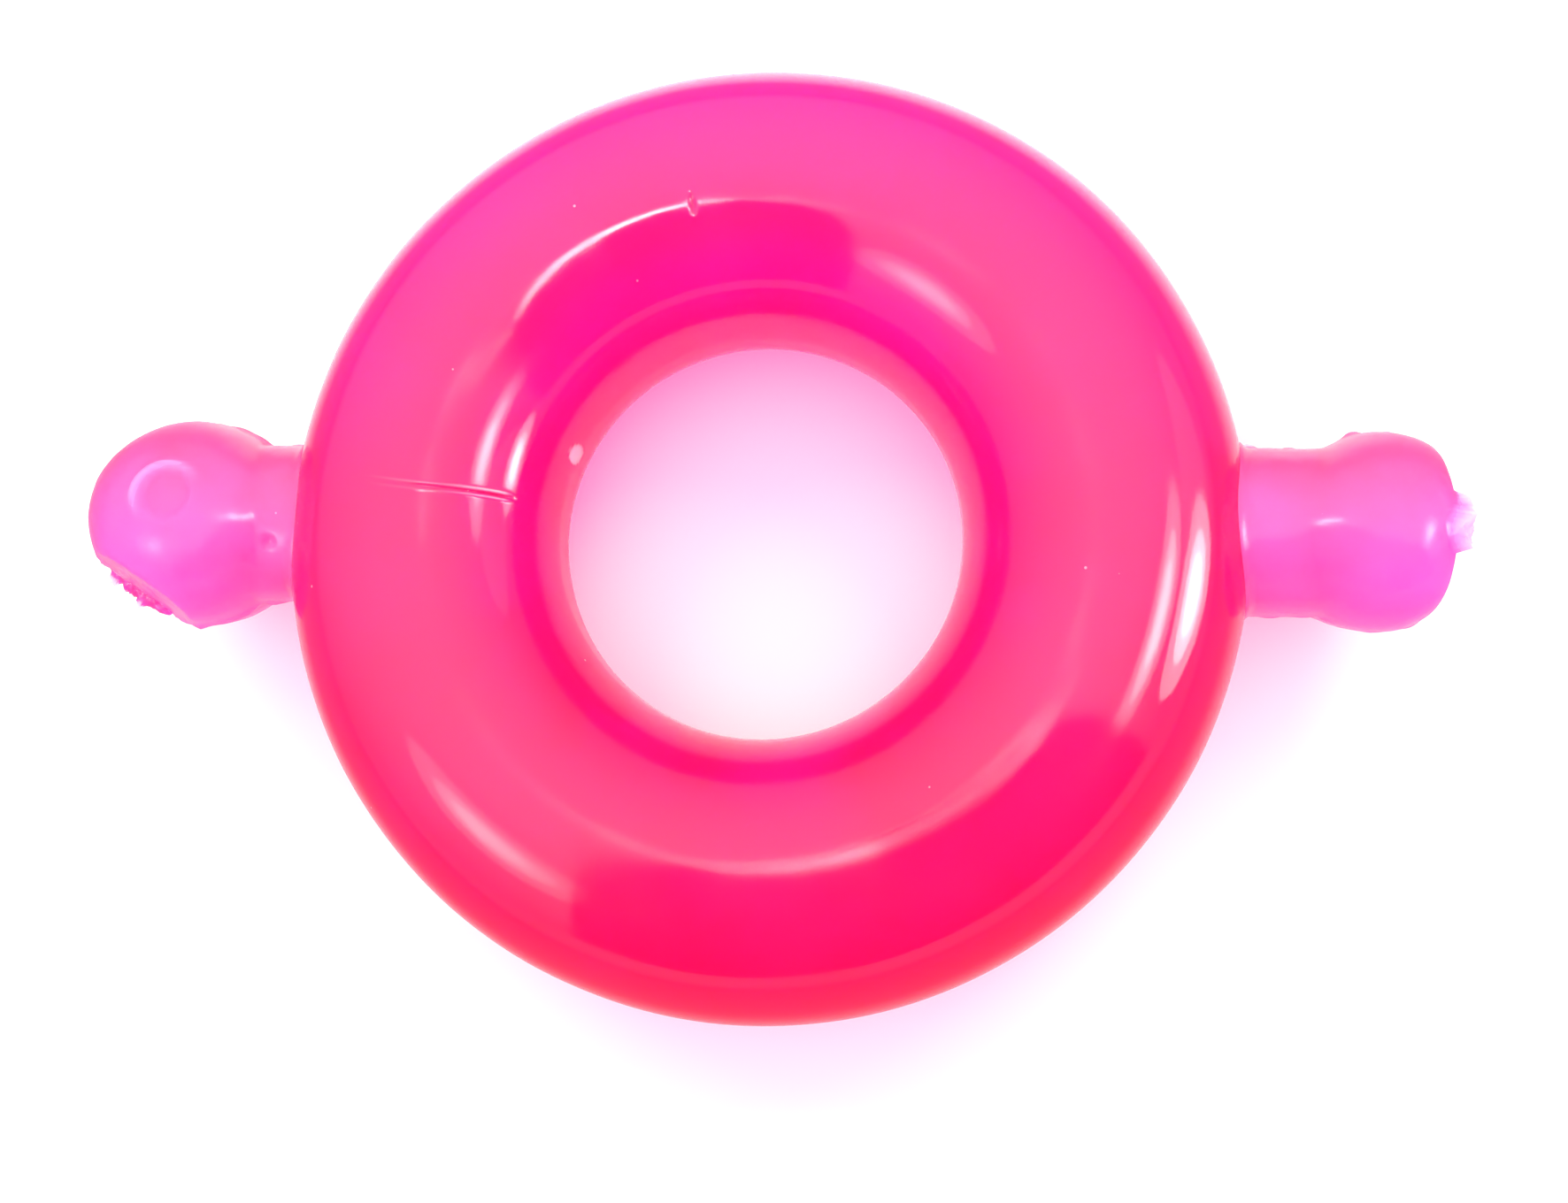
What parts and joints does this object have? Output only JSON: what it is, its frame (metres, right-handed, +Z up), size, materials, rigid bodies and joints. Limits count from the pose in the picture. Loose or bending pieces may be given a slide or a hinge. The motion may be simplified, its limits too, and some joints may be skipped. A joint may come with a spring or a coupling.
{
  "type": "stretch ring",
  "caption": "Soft translucent elastomer stretch ring with a thick round section and two opposite ball-ended pull lugs on short round necks.",
  "frame": {"origin": "on the ring's axis, at the level the ring rests on", "axes": "+Z up the ring's axis, +X along the two lugs towards the right-hand one, so left is -X"},
  "size_m": [0.0618, 0.0432, 0.0125],
  "materials": {
    "ring_elastomer": "glossy translucent hot pink",
    "lug_elastomer": "glossy translucent violet pink"
  },
  "bodies": {
    "ring": {"ring_body": "ring_elastomer", "left_neck": "lug_elastomer"},
    "left_ball": {"left_ball": "lug_elastomer"},
    "right_neck": {"right_neck": "lug_elastomer"},
    "right_ball": {"right_ball": "lug_elastomer"}
  },
  "joints": [
    {"name": "stretch", "type": "slide", "parent": "ring", "child": "right_neck", "axis": [1, 0, 0], "range_m": [0, 0.012], "stiffness_N_per_m": 800, "deforming": ["ring_body"]},
    {"name": "left_flex", "type": "hinge", "parent": "ring", "child": "left_ball", "pos_m": [-0.02275, 0, 0.00625], "axis": [0, 0, 1], "range_deg": [-30, 30], "stiffness_Nm_per_rad": 0.015, "deforming": ["left_neck"]},
    {"name": "right_flex", "type": "hinge", "parent": "right_neck", "child": "right_ball", "pos_m": [0.02275, 0, 0.00625], "axis": [0, 0, 1], "range_deg": [-30, 30], "stiffness_Nm_per_rad": 0.015, "deforming": ["right_neck"]}
  ]
}
